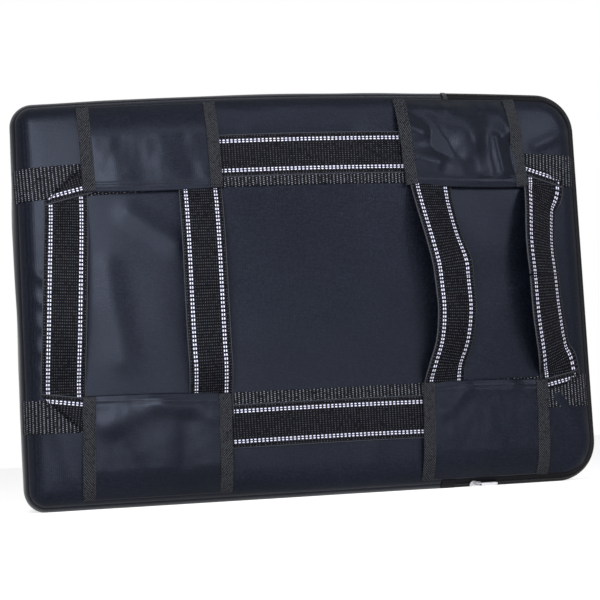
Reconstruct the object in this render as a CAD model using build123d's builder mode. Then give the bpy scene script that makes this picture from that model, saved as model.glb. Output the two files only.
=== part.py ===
"""Kick shield: a zipped fabric cover over layered foam, with webbing grips on its rear side.

Millimetres. X runs across the shield and Z runs up. The rear, where the holder's hands go,
faces -Y, and the strike face is on +Y. The origin is the middle of the flat lower edge.
"Height" below means the distance from the middle plane of the pad towards the rear, and
"lift" the distance above the rear cover.
"""

from build123d import *
from math import cos, degrees, radians, sin, sqrt
import os

# ---------------------------------------------------------------- pad and cover
width = 650.0
side_height = 448.0  # at the two sides
crown = 9.0  # how far the top edge bows above the side height
thickness = 120.0
left_corner_radius = 30.0
right_corner_radius = 46.0
rear_edge_radius = 24.0
strike_edge_radius = 14.0
strike_lip = 3.0  # straight side wall that belongs to the strike panel
cover_thickness = 1.2
foam_gap = 0.3
rear_foam_thickness = 30.0
strike_foam_thickness = 35.0
skin_gap = 0.1  # between the cover and what lies on it
overcut = 2.0  # how far a cutting block runs past what it cuts

# ---------------------------------------------------------------- zip
zip_angle = 38.0  # of the coil, round the rear edge, from the gusset
zip_tape_angle = 18.0  # that each tape takes up on that edge
zip_tape_thickness = 0.7
zip_coil_width = 2.8
zip_coil_thickness = 1.3
zip_top_inset = 153.0  # from the right-hand side
zip_bottom_inset = 171.0
zip_stop_length = 5.0
zip_garage_length = 16.0
zip_garage_lift = 1.3

slider_inset = 148.0  # from the right-hand side, with the zip closed
slider_length = 12.5
slider_width = 8.0
slider_side_angle = 86.0
slider_corner_radius = 1.5
slider_plate = 1.1
slider_flange_length = 4.2
slider_flange_shift = 2.5  # towards the closed end of the zip
slider_flange_width = 1.0
slider_clearance = 0.3  # over the tapes and the coil
bridge_width = 1.6
bridge_length = 8.6
bridge_gap = 1.5  # room for the tab's pin under the bridge
bridge_thickness = 0.8
pin_radius = 0.6
tab_length = 26.0
tab_width = 5.5
tab_thickness = 1.0
tab_corner_radius = 2.4
tab_eye_length = 7.0
tab_eye_width = 3.2

# ---------------------------------------------------------------- webbing
base_strap_width = 36.0
base_strap_thickness = 1.4
strap_width = 48.0
strap_thickness = 1.8
side_seam_angle = 25.0  # where a base strap ends on the side without the zip

# what belongs to the top is measured down from the side height, and the rest from the lower edge
upper_base_drop = 93.0  # centre of the upper base strap at its ends
upper_base_bow = 11.0
lower_base_z = 103.0
lower_base_bow = -2.0

upper_run_drop = 62.0
lower_run_z = 83.0
run_left_inset = 213.0
run_right_inset = 183.0
fold_lap = 6.0  # where a folded corner steps down to the layer below
fold_gap = 0.3
hem_clearance = 0.5  # between the loop's slanted edge and the inside of a hem

left_grip_upper_inset = 33.0  # outer edge of the outer left grip, at its top
left_grip_lower_inset = 22.0
right_grip_inset = 14.0
upper_fold_drop = 116.0  # lowest corner of the upper folds
lower_fold_z = 128.0  # highest corner of the lower folds

# ---------------------------------------------------------------- grips
inner_left_upper_inset = 211.5  # centre of the inner left grip, at its top
inner_left_lower_inset = 206.0
inner_right_upper_inset = 175.0
inner_right_lower_inset = 180.0
inner_tail_length = 30.0  # sewn under a tunnel
grip_end_length = 54.0  # from a hem to the free middle of a grip
grip_lift = 27.0
grip_end_lift = 22.5
tail_run_out = 5.0  # flat webbing that shows before a grip starts to rise
grip_crest_share = 0.4  # of the free middle, at the full lift
middle_end_lean = 0.8  # share of the lean at the free middle's ends
half_end_lean = 0.4  # and halfway to the sewn ends
inner_right_lift = 31.0
inner_right_lean = 24.0  # how far its middle hangs to the right
inner_right_twist = 28.0
outer_right_lift = 28.0
outer_right_lean = 2.0
outer_right_twist = 42.0

# ---------------------------------------------------------------- tunnels
upper_hem_drop = 100.0
lower_hem_z = 120.0
tunnel_fabric = 1.2
tunnel_gap = 0.3  # between the cover and a tunnel where it is sewn down
tunnel_wall = 1.6
binding_width = 14.0
binding_thickness = 0.9
binding_room = 0.3  # between the straps and the binding over them
end_overrun = 4.0  # how far the line of an open end is drawn past the hem and the seam
# each tunnel's open ends: inset from its own side at the seam (outer end, inner end),
# gap from the outer grip to the hem's outer end, and inset of the hem's inner end
tunnel_ends = {
    "upper_left": ((77.0, 220.0), 14.0, 233.0),
    "upper_right": ((75.0, 208.0), 1.5, 201.0),
    "lower_left": ((75.0, 225.0), 1.5, 229.0),
    "lower_right": ((64.0, 194.0), 1.5, 201.0),
}

# ---------------------------------------------------------------- worked out
rear = thickness / 2
left_side, right_side = -width / 2, width / 2
far = width + side_height  # further than any edge of the shield
gusset_rear = rear - rear_edge_radius * (1 - sin(radians(zip_angle)))
gusset_front = -rear + strike_edge_radius + strike_lip

zip_top_x = right_side - zip_top_inset
zip_bottom_x = right_side - zip_bottom_inset
plate_lift = skin_gap + zip_coil_thickness + slider_clearance
flange_lift = skin_gap + zip_tape_thickness + slider_clearance
plate_top = plate_lift + slider_plate
pin_lift = plate_top + bridge_gap / 2

upper_base_z = side_height - upper_base_drop
upper_run_z = side_height - upper_run_drop
upper_fold_z = side_height - upper_fold_drop
upper_hem_z = side_height - upper_hem_drop
run_left, run_right = left_side + run_left_inset, right_side - run_right_inset
left_grip_upper_edge = left_side + left_grip_upper_inset
left_grip_lower_edge = left_side + left_grip_lower_inset
right_grip_edge = right_side - right_grip_inset
inner_left_upper_x = left_side + inner_left_upper_inset
inner_left_lower_x = left_side + inner_left_lower_inset
inner_right_upper_x = right_side - inner_right_upper_inset
inner_right_lower_x = right_side - inner_right_lower_inset
grip_middle_low = lower_hem_z + grip_end_length
grip_middle_high = upper_hem_z - grip_end_length

first_layer = skin_gap + base_strap_thickness  # lift of what lies on the base straps
second_layer = first_layer + strap_thickness
strap_top = second_layer + strap_thickness
tunnel_room = strap_top + binding_room + binding_thickness
tunnel_top = tunnel_room + tunnel_fabric
binding_top = tunnel_top + binding_thickness
tab_clearance = 0.5  # between a tunnel's outside and the pull tab, as it turns over


def sweep_height(half_width, reach):
    """Height of the upper corner of something on the zip, this wide and this far from the edge's centre."""
    return rear - rear_edge_radius + reach * sin(radians(zip_angle)) + half_width * cos(radians(zip_angle))


# the tunnels are sewn down clear of the slider and its turning tab, and no prouder than the sides
outside_radius = rear_edge_radius + binding_top
tab_reach = sqrt((outside_radius + tab_clearance) ** 2 - (tab_width / 2) ** 2)
tunnel_seam_height = max(
    sweep_height(slider_width / 2, rear_edge_radius + pin_lift + pin_radius) + slider_clearance,
    sweep_height(tab_width / 2, tab_reach),
    rear - rear_edge_radius + sqrt(outside_radius**2 - rear_edge_radius**2) + skin_gap,
)


def edge_height(angle):
    """Height of the rounded rear edge at this angle from the gusset."""
    return rear - rear_edge_radius * (1 - sin(radians(angle)))


def level(height):
    """Plane parallel to the panels, seen from the rear: its x is X and its y is Z."""
    return Plane.XZ.offset(height)


def pad_outline(inset):
    """The pad seen from the rear, smaller by inset on every side."""
    left, right = left_side + inset, right_side - inset
    low, high = inset, side_height - inset
    with BuildSketch() as outline:
        with BuildLine():
            Polyline((left, high), (left, low), (right, low), (right, high))
            ThreePointArc((right, high), (0, high + crown), (left, high))
        make_face()
        fillet(outline.vertices().group_by(Axis.X)[0], radius=left_corner_radius - inset)
        fillet(outline.vertices().group_by(Axis.X)[-1], radius=right_corner_radius - inset)
    return outline.sketch


def cushion(inset, low, high, rear_radius=0.0, strike_radius=0.0):
    """A block with the pad's outline and rounded rear or strike edges."""
    with BuildPart() as block:
        with BuildSketch(level(low)):
            add(pad_outline(inset))
        extrude(amount=high - low)
        if rear_radius:
            fillet(block.faces().sort_by(Axis.Y)[0].edges(), radius=rear_radius)
        if strike_radius:
            fillet(block.faces().sort_by(Axis.Y)[-1].edges(), radius=strike_radius)
    return block.part


def polygon_block(points, low, high):
    """A flat-sided block over the polygon with these (X, Z) points, between two heights."""
    with BuildPart() as block:
        with BuildSketch(level(low)):
            with BuildLine():
                Polyline(*points, close=True)
            make_face()
        extrude(amount=high - low)
    return block.part


def slab(low, high):
    """Everything between two heights, to cut a part with."""
    return polygon_block([(-far, -far), (far, -far), (far, far), (-far, far)], low, high)


def rear_layer(low, high):
    """An even layer over the rear panel and its rounded edge, between two lifts."""
    start = rear - rear_edge_radius - overcut
    with BuildPart() as layer:
        add(cushion(-high, start, rear + high, rear_edge_radius + high))
        add(cushion(-low, start, rear + low, rear_edge_radius + low), mode=Mode.SUBTRACT)
    return layer.part


def save(piece, label):
    piece.part.label = label
    export_step(piece.part, f"parts/{label}.step")


os.makedirs("parts", exist_ok=True)

# ================================================================ cover
cover_outside = cushion(0, -rear, rear, rear_edge_radius, strike_edge_radius)
cover_inside = cushion(
    cover_thickness,
    -rear + cover_thickness,
    rear - cover_thickness,
    rear_edge_radius - cover_thickness,
    strike_edge_radius - cover_thickness,
)

with BuildPart() as rear_panel:
    add(cover_outside)
    add(cover_inside, mode=Mode.SUBTRACT)
    add(slab(gusset_rear, rear + overcut), mode=Mode.INTERSECT)
save(rear_panel, "rear_panel")

with BuildPart() as side_gusset:
    add(cover_outside)
    add(cover_inside, mode=Mode.SUBTRACT)
    add(slab(gusset_front, gusset_rear), mode=Mode.INTERSECT)
save(side_gusset, "side_gusset")

with BuildPart() as strike_panel:
    add(cover_outside)
    add(cover_inside, mode=Mode.SUBTRACT)
    add(slab(-rear - overcut, gusset_front), mode=Mode.INTERSECT)
save(strike_panel, "strike_panel")

# ================================================================ foam
foam_inset = cover_thickness + foam_gap
foam_block = cushion(
    foam_inset,
    -rear + foam_inset,
    rear - foam_inset,
    rear_edge_radius - foam_inset,
    strike_edge_radius - foam_inset,
)
rear_foam_start = rear - foam_inset - rear_foam_thickness
strike_foam_end = -rear + foam_inset + strike_foam_thickness

with BuildPart() as rear_foam:
    add(foam_block)
    add(slab(rear_foam_start, rear), mode=Mode.INTERSECT)
save(rear_foam, "rear_foam")

with BuildPart() as core_foam:
    add(foam_block)
    add(slab(strike_foam_end, rear_foam_start), mode=Mode.INTERSECT)
save(core_foam, "core_foam")

with BuildPart() as strike_foam:
    add(foam_block)
    add(slab(-rear, strike_foam_end), mode=Mode.INTERSECT)
save(strike_foam, "strike_foam")


# ================================================================ zip
def zip_zone(start_angle, end_angle):
    """The zip's run round the right-hand end, between two angles, to cut a layer with."""
    middle = side_height / 2
    upper_part = [(zip_top_x, far), (far, far), (far, -far), (zip_bottom_x, -far)]
    points = [*upper_part, (zip_bottom_x, middle), (zip_top_x, middle)]
    return polygon_block(points, edge_height(start_angle), edge_height(end_angle))


coil_half_angle = degrees(zip_coil_width / 2 / rear_edge_radius)
tape_layer = rear_layer(skin_gap, skin_gap + zip_tape_thickness)

with BuildPart() as zip_gusset_tape:
    add(tape_layer)
    add(zip_zone(zip_angle - zip_tape_angle, zip_angle - coil_half_angle), mode=Mode.INTERSECT)
save(zip_gusset_tape, "zip_gusset_tape")

with BuildPart() as zip_panel_tape:
    add(tape_layer)
    add(zip_zone(zip_angle + coil_half_angle, zip_angle + zip_tape_angle), mode=Mode.INTERSECT)
save(zip_panel_tape, "zip_panel_tape")

with BuildPart() as zip_coil:
    add(rear_layer(skin_gap, skin_gap + zip_coil_thickness))
    add(zip_zone(zip_angle - coil_half_angle, zip_angle + coil_half_angle), mode=Mode.INTERSECT)
save(zip_coil, "zip_coil")

tape_span = (edge_height(zip_angle - zip_tape_angle), edge_height(zip_angle + zip_tape_angle))

with BuildPart() as zip_top_stop:
    add(rear_layer(skin_gap, skin_gap + zip_coil_thickness))
    with BuildSketch(level(tape_span[0])):
        with Locations((zip_top_x - zip_stop_length / 2, side_height)):
            Rectangle(zip_stop_length, side_height)
    extrude(amount=tape_span[1] - tape_span[0], mode=Mode.INTERSECT)
save(zip_top_stop, "zip_top_stop")

with BuildPart() as zip_garage:
    add(rear_layer(skin_gap, zip_garage_lift))
    with BuildSketch(level(tape_span[0])):
        with Locations((zip_bottom_x - zip_garage_length / 2, 0)):
            Rectangle(zip_garage_length, side_height)
    extrude(amount=tape_span[1] - tape_span[0], mode=Mode.INTERSECT)
save(zip_garage, "zip_garage")

# The slider stands on the lower edge, square to the rounded edge at the zip's angle.
zip_normal = (0, -sin(radians(zip_angle)), -cos(radians(zip_angle)))
slider_seat = Plane(
    origin=(
        right_side - slider_inset,
        -edge_height(zip_angle),
        rear_edge_radius * (1 - cos(radians(zip_angle))),
    ),
    x_dir=(1, 0, 0),
    z_dir=zip_normal,
)

with BuildPart() as zip_slider:
    with BuildSketch(slider_seat.offset(plate_lift)) as plate:
        Trapezoid(slider_width, slider_length, slider_side_angle, rotation=-90)
        fillet(plate.vertices(), radius=slider_corner_radius)
    extrude(amount=slider_plate)
    with BuildSketch(slider_seat.offset(flange_lift)):
        flange_y = (slider_width - slider_flange_width) / 2
        with Locations((-slider_flange_shift, flange_y), (-slider_flange_shift, -flange_y)):
            Rectangle(slider_flange_length, slider_flange_width)
    extrude(amount=plate_lift - flange_lift)
    with BuildSketch(slider_seat.offset(plate_top)):
        post_x = bridge_length / 2 - bridge_thickness / 2
        with Locations((post_x, 0), (-post_x, 0)):
            Rectangle(bridge_thickness, bridge_width)
    extrude(amount=bridge_gap)
    with BuildSketch(slider_seat.offset(plate_top + bridge_gap)):
        Rectangle(bridge_length, bridge_width)
    extrude(amount=bridge_thickness)
save(zip_slider, "zip_slider")

with BuildPart() as zip_pull_tab:
    with BuildSketch(slider_seat.offset(pin_lift - tab_thickness / 2)) as tab:
        with Locations((tab_length / 2, 0)):
            RectangleRounded(tab_length, tab_width, tab_corner_radius)
        with Locations((tab_eye_length / 2, 0)):
            Rectangle(tab_eye_length, tab_eye_width, mode=Mode.SUBTRACT)
    extrude(amount=tab_thickness)
    with Locations(slider_seat.offset(pin_lift)):
        Cylinder(pin_radius, tab_width, rotation=(90, 0, 0))
save(zip_pull_tab, "zip_pull_tab")


# ================================================================ base straps
def base_strap(label, centre_z, bow):
    """A plain strap from side seam to side seam, which bows towards the top in its middle."""
    start = edge_height(side_seam_angle)
    zip_side = edge_height(zip_angle + zip_tape_angle) + skin_gap
    low, high = centre_z - base_strap_width / 2, centre_z + base_strap_width / 2
    with BuildPart() as strap:
        add(rear_layer(skin_gap, first_layer))
        with BuildSketch(level(start)):
            with BuildLine():
                ThreePointArc((left_side, low), (0, low + bow), (right_side, low))
                Line((right_side, low), (right_side, high))
                ThreePointArc((right_side, high), (0, high + bow), (left_side, high))
                Line((left_side, high), (left_side, low))
            make_face()
        extrude(amount=rear_edge_radius, mode=Mode.INTERSECT)
        with BuildSketch(level(start)):
            with Locations((right_side, centre_z)):
                Rectangle(width, side_height)
        extrude(amount=zip_side - start, mode=Mode.SUBTRACT)
    save(strap, label)
    return strap.part


upper_base = base_strap("base_strap_upper", upper_base_z, upper_base_bow)
lower_base = base_strap("base_strap_lower", lower_base_z, lower_base_bow)


# ================================================================ striped loop
grip_edges = {
    "upper_left": left_grip_upper_edge,
    "upper_right": right_grip_edge,
    "lower_left": left_grip_lower_edge,
    "lower_right": right_grip_edge,
}


def tunnel_corner(name):
    """X and Z of a tunnel's outer end at its hem, next to an outer grip."""
    inward = 1 if name.endswith("left") else -1
    hem_x = grip_edges[name] + inward * (strap_width + tunnel_ends[name][1])
    return hem_x, upper_hem_z if name.startswith("upper") else lower_hem_z


def run(label, centre_z):
    """A level stretch of the loop between two tunnels."""
    with BuildPart() as strap:
        with BuildSketch(level(rear + first_layer)):
            with Locations(((run_left + run_right) / 2, centre_z)):
                Rectangle(run_right - run_left, strap_width)
        extrude(amount=strap_thickness)
    save(strap, label)


run("loop_run_upper", upper_run_z)
run("loop_run_lower", lower_run_z)


def strap_plate(points, lift):
    """Flat webbing over the polygon with these (X, Z) points."""
    return polygon_block(points, rear + lift, rear + lift + strap_thickness)


def folded_corner(name, outer_x, fold_z, run_z, end_x):
    """The loop from the end of a run, slanting through a tunnel to its fold over a grip.

    The fold's outer edge runs at 45 degrees, and its inner edge passes inside the hem.
    """
    up = 1 if name.startswith("upper") else -1
    inward = 1 if outer_x < end_x else -1
    hem_x, hem_z = tunnel_corner(name)
    inner_x = outer_x + inward * strap_width
    start_x = inner_x + inward * fold_gap
    lap_x = inner_x + inward * fold_lap
    near, far_side = run_z - up * strap_width / 2, run_z + up * strap_width / 2
    slant = (hem_z + up * (tunnel_wall + hem_clearance) - fold_z) / abs(hem_x - outer_x)
    bend_x = outer_x + inward * (near - fold_z) / slant
    lap_z = fold_z + slant * abs(lap_x - outer_x)
    start_z = fold_z + slant * abs(start_x - outer_x)
    fold_tip = fold_z + up * strap_width
    with BuildPart() as corner:
        below = [(start_x, start_z), (bend_x, near), (end_x, near), (end_x, far_side)]
        add(strap_plate([*below, (bend_x, far_side), (start_x, fold_tip)], first_layer))
        above = [(outer_x, fold_z), (lap_x, lap_z), (lap_x, fold_tip), (inner_x, fold_tip)]
        add(strap_plate(above, second_layer))
    save(corner, f"loop_corner_{name}")


folded_corner("upper_left", left_grip_upper_edge, upper_fold_z, upper_run_z, run_left)
folded_corner("lower_left", left_grip_lower_edge, lower_fold_z, lower_run_z, run_left)
folded_corner("upper_right", right_grip_edge, upper_fold_z, upper_run_z, run_right)
folded_corner("lower_right", right_grip_edge, lower_fold_z, lower_run_z, run_right)


# ================================================================ grips
def strap_section(z, x, lift, twist):
    """A cross-section of webbing, square to Z. A positive twist turns its face towards +X."""
    seat = Plane(origin=(x, -rear - lift, z), x_dir=(cos(radians(twist)), sin(radians(twist)), 0))
    with BuildSketch(seat) as section:
        Rectangle(strap_width, strap_thickness)
    return section.sketch


def grip(label, upper_x, lower_x, tail_lift, upper_tail, lower_tail, lift, lean, twist):
    """A grip in three pieces: a sewn, bending end, the free middle, and the other end.

    A tail is (its flat outline, the Z where it starts to rise).
    """
    side_lift = lift - (grip_lift - grip_end_lift)
    span = grip_middle_high - grip_middle_low
    side_span = span * (1 - grip_crest_share) / 2

    def x_at(z):
        share = (z - lower_tail[1]) / (upper_tail[1] - lower_tail[1])
        return lower_x + (upper_x - lower_x) * share

    with BuildPart() as middle:
        stations = (
            (grip_middle_low, lean * middle_end_lean, side_lift),
            (grip_middle_low + side_span, lean, lift),
            (grip_middle_high - side_span, lean, lift),
            (grip_middle_high, lean * middle_end_lean, side_lift),
        )
        loft(sections=[strap_section(z, x_at(z) + shift, high, twist) for z, shift, high in stations])
    save(middle, f"{label}_middle")

    for end, (outline, rise_z), middle_end, x in (
        ("top", upper_tail, grip_middle_high, upper_x),
        ("bottom", lower_tail, grip_middle_low, lower_x),
    ):
        half_z = (rise_z + middle_end) / 2
        half_x = (x + x_at(middle_end)) / 2 + lean * half_end_lean
        end_x = x_at(middle_end) + lean * middle_end_lean
        centre_lift = tail_lift + strap_thickness / 2
        with BuildPart() as sewn_end:
            loft(
                sections=[
                    strap_section(rise_z, x, centre_lift, 0),
                    strap_section(half_z, half_x, (centre_lift + side_lift) / 2, twist / 2),
                    strap_section(middle_end, end_x, side_lift, twist),
                ]
            )
            add(strap_plate(outline, tail_lift))
        save(sewn_end, f"{label}_{end}_end")


def outer_grip(label, upper_edge, lower_edge, lift, lean, twist):
    """An outer grip comes out from under the loop's folds."""
    inward = 1 if upper_edge < 0 else -1

    def tail(edge, fold_z, up):
        inner = edge + inward * strap_width
        rise_z = fold_z - up * tail_run_out
        points = [(edge, rise_z), (edge, fold_z), (inner, fold_z + up * strap_width)]
        return [*points, (inner, rise_z)], rise_z

    grip(
        label,
        upper_edge + inward * strap_width / 2,
        lower_edge + inward * strap_width / 2,
        first_layer,
        tail(upper_edge, upper_fold_z, 1),
        tail(lower_edge, lower_fold_z, -1),
        lift,
        lean,
        twist,
    )


def inner_grip(label, upper_x, lower_x, lift, lean, twist):
    """An inner grip is sewn under the hems of two tunnels."""

    def tail(x, hem_z, up):
        rise_z = hem_z - up * tail_run_out
        left, right = x - strap_width / 2, x + strap_width / 2
        inside_z = hem_z + up * inner_tail_length
        return [(left, rise_z), (left, inside_z), (right, inside_z), (right, rise_z)], rise_z

    grip(
        label,
        upper_x,
        lower_x,
        second_layer,
        tail(upper_x, upper_hem_z, 1),
        tail(lower_x, lower_hem_z, -1),
        lift,
        lean,
        twist,
    )


outer_grip("outer_left_grip", left_grip_upper_edge, left_grip_lower_edge, grip_lift, 0, 0)
outer_grip(
    "outer_right_grip",
    right_grip_edge,
    right_grip_edge,
    outer_right_lift,
    outer_right_lean,
    outer_right_twist,
)
inner_grip("inner_left_grip", inner_left_upper_x, inner_left_lower_x, grip_lift, 0, 0)
inner_grip(
    "inner_right_grip",
    inner_right_upper_x,
    inner_right_lower_x,
    inner_right_lift,
    inner_right_lean,
    inner_right_twist,
)


# ================================================================ tunnels and their bindings
def end_line(seam_x, hem_x, hem_z, outer_z, shift):
    """Two points of an open end, run on past the hem and the seam, moved along X by shift."""
    slope = (seam_x - hem_x) / (outer_z - hem_z)
    past = end_overrun if outer_z > hem_z else -end_overrun
    return (
        (hem_x - slope * past + shift, hem_z - past),
        (seam_x + slope * past + shift, outer_z + past),
    )


def tunnel(label, seam_ends, hem_ends, hem_z, base, tail_x):
    """A fabric tunnel over the straps: sewn at the perimeter and the hem, open at both ends."""
    up = 1 if hem_z > side_height / 2 else -1
    outer_z = side_height if up > 0 else 0.0
    room_start = tunnel_seam_height + tunnel_wall

    def region(first, second, inner_z, start):
        """From inner_z outwards between two (end, shift) lines, as a block to cut with."""
        lines = [
            end_line(seam_ends[end], hem_ends[end], hem_z, outer_z, shift)
            for end, shift in (first, second)
        ]
        with BuildPart() as block:
            add(polygon_block([*lines[0], *reversed(lines[1])], start, rear + 2 * tunnel_top))
            with BuildSketch(level(start)):
                with Locations((0, inner_z - up * far / 2)):
                    Rectangle(2 * far, far)
            extrude(amount=rear, mode=Mode.SUBTRACT)
        return block.part

    with BuildPart() as room:
        add(rear_layer(0, tunnel_room))
        inside_hem = hem_z + up * tunnel_wall
        left_line, right_line = (0, -binding_width), (1, binding_width)
        add(region(left_line, right_line, inside_hem, room_start), mode=Mode.INTERSECT)

    with BuildPart() as fabric:
        add(rear_layer(tunnel_gap, tunnel_top))
        add(region((0, 0), (1, 0), hem_z, tunnel_seam_height), mode=Mode.INTERSECT)
        add(room.part, mode=Mode.SUBTRACT)
        add(base, mode=Mode.SUBTRACT)
        with BuildSketch(level(rear + second_layer)):
            with Locations((tail_x, hem_z)):
                Rectangle(strap_width, 2 * inner_tail_length)
        extrude(amount=strap_thickness, mode=Mode.SUBTRACT)
    save(fabric, f"tunnel_{label}")

    for number, (end, outward) in enumerate((("left", -1), ("right", 1))):
        edge = (number, outward * binding_thickness)
        inner = (number, outward * (binding_thickness - binding_width))
        with BuildPart() as binding:
            add(rear_layer(tunnel_room - binding_thickness, binding_top))
            add(region(edge, inner, hem_z, tunnel_seam_height), mode=Mode.INTERSECT)
            add(fabric.part, mode=Mode.SUBTRACT)
        save(binding, f"binding_{label}_{end}")


for name, (seam_insets, _, hem_inset) in tunnel_ends.items():
    upper = name.startswith("upper")
    left = name.endswith("left")
    side, inward = (left_side, 1) if left else (right_side, -1)
    seam_ends = sorted(side + inward * inset for inset in seam_insets)
    hem_x, hem_z = tunnel_corner(name)
    hem_ends = sorted((hem_x, side + inward * hem_inset))
    tails = (inner_left_upper_x, inner_left_lower_x, inner_right_upper_x, inner_right_lower_x)
    tail_x = tails[(0 if left else 2) + (0 if upper else 1)]
    tunnel(name, seam_ends, hem_ends, hem_z, upper_base if upper else lower_base, tail_x)
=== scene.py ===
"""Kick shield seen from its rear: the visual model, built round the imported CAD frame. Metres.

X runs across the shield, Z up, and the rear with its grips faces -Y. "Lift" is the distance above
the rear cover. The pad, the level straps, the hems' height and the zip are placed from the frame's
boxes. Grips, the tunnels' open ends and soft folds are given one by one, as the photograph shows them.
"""

from math import cos, pi, radians, sin, sqrt

import bmesh
import bpy
import numpy as np
from mathutils import Matrix, Vector, noise

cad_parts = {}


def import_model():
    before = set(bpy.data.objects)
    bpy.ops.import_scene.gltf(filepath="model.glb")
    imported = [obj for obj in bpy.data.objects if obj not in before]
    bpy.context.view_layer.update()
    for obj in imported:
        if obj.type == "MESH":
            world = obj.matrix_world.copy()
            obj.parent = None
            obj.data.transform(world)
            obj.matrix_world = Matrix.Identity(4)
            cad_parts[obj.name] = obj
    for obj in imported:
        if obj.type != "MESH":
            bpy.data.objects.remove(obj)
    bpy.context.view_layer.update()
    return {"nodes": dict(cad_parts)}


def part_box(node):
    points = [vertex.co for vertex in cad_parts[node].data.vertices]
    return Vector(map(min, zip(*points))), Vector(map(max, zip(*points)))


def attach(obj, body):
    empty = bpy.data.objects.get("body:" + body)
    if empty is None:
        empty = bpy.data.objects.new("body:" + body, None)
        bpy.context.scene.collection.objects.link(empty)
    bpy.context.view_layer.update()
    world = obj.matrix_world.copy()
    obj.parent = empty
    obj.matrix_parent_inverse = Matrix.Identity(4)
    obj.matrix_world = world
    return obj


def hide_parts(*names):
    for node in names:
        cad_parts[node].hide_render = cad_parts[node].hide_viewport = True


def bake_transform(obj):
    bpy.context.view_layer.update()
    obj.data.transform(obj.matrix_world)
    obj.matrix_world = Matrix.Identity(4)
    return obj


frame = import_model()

scene = bpy.context.scene
nodes = frame["nodes"]

# ---------------------------------------------------------------- sizes
crown = 0.009  # how far the top edge bows above the sides
crown_depth = 0.055  # how far below the edge the bow still shows
rear_edge_radius = 0.024
strike_edge_radius = 0.014
left_corner_radius = 0.024
right_corner_radius = 0.046
dome = 0.006  # how far the soft rear swells in its middle
strike_dome = 0.005
edge_fade = 0.036  # a panel's swell and folds fade out over this width at its rounded edges
cover_thickness = 0.0012
foam_tuck = 0.0045  # how far the cover presses the foam in at its edges
strap_width = 0.048
strap_thickness = 0.0018
base_thickness = 0.0014
base_width = 0.036
stripe_offset = 0.0165  # centre of each dotted stripe, from the webbing's centre line
first_layer = 0.0015  # lift of what lies on the base straps
second_layer = 0.0033
tunnel_lift = 0.0078
tunnel_floor = 0.0062  # the lowest that a tunnel's cloth lies over its straps
binding_width = 0.014
binding_thickness = 0.003  # both faces of the binding and the fabric between them
binding_overhang = 0.0009  # how far a binding stands out past the cloth's end
seam_tuck = 0.0009  # how far a seam draws the cover in
seam_tuck_width = 0.0035
wall_swell = 0.0016
wall_swell_fade = 0.02  # the side wall's swell fades out over this distance from its seams
fold_rise = 0.0012  # how far the loop's folded corner stands up inside its rim
fold_rim = 0.003
tunnel_seam_angle = radians(34)  # how far round the pad's edge a tunnel is sewn on
tunnel_seam_lift = 0.0008
tunnel_rise = 0.034  # the cloth comes up from its seam over this distance
tunnel_cloth_thickness = 0.0006
hem_roll = 0.0011  # radius of the hem's turn
hem_stitch_inset = 0.008
stitch_pitch = 0.0034
thread_width = 0.0005
coil_seat = 0.0009  # height of the coil's centre over the edge
coil_pitch = 0.0016
coil_reach = 0.0013  # half the length of a coil's loop
coil_row_shift = 0.0003
coil_wire = 0.00062

low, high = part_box("side_gusset")
half_width = high.x
side_height = high.z - crown
rear = -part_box("rear_panel")[0].y
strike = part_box("strike_panel")[1].y
seam_height = -low.y
seam_angle = np.arccos((seam_height - rear + rear_edge_radius) / rear_edge_radius)
middle_z = side_height / 2
pad_centre = (0, 0, middle_z)


def lerp(a, b, t):
    return a + (b - a) * t


def smoothstep(t):
    t = np.clip(t, 0.0, 1.0)
    return t * t * (3 - 2 * t)


# ---------------------------------------------------------------- mesh helpers
def grid_faces(rows, columns, closed=False):
    """Quads over a grid of points, row by row. A closed grid joins its last column to its first."""
    faces = []
    for row in range(rows - 1):
        for column in range(columns if closed else columns - 1):
            here, beside = row * columns + column, row * columns + (column + 1) % columns
            faces.append((here, beside, beside + columns, here + columns))
    return faces


def tube_faces(rings, around, base):
    """The faces of a closed tube: rings of points, with a cap at each end, numbered from base."""
    faces = grid_faces(rings, around, closed=True)
    faces.append(tuple(range(around)))
    faces.append(tuple(range((rings - 1) * around, rings * around)))
    return [tuple(base + i for i in face) for face in faces]


def add_piece(name, points, faces, look, uvs=None, body="root", slot=None, inside=None):
    """A smooth mesh. With inside, its faces turn away from that point; else it is a closed solid."""
    mesh = bpy.data.meshes.new(name)
    mesh.from_pydata([tuple(map(float, point)) for point in points], [], faces)
    if uvs is not None:
        layer = mesh.uv_layers.new(name="Weave")
        index = np.zeros(len(mesh.loops), np.int32)
        mesh.loops.foreach_get("vertex_index", index)
        layer.data.foreach_set("uv", np.asarray(uvs, np.float32)[index].ravel())
    work = bmesh.new()
    work.from_mesh(mesh)
    bmesh.ops.remove_doubles(work, verts=work.verts, dist=1e-6)
    if inside is None:
        bmesh.ops.recalc_face_normals(work, faces=work.faces)
    else:
        centre = Vector(inside)
        facing = sum(f.normal.dot(f.calc_center_median() - centre) for f in work.faces)
        if facing < 0:
            bmesh.ops.reverse_faces(work, faces=work.faces)
    work.to_mesh(mesh)
    work.free()
    mesh.polygons.foreach_set("use_smooth", [len(face.vertices) <= 4 for face in mesh.polygons])
    mesh.materials.append(look)
    piece = bpy.data.objects.new(name, mesh)
    scene.collection.objects.link(piece)
    if body:
        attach(piece, body)
    return piece


def solidify(piece, thickness):
    """Thickness inwards from the mesh's own face."""
    modifier = piece.modifiers.new("Thickness", "SOLIDIFY")
    modifier.thickness = thickness
    modifier.offset = -1.0


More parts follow.
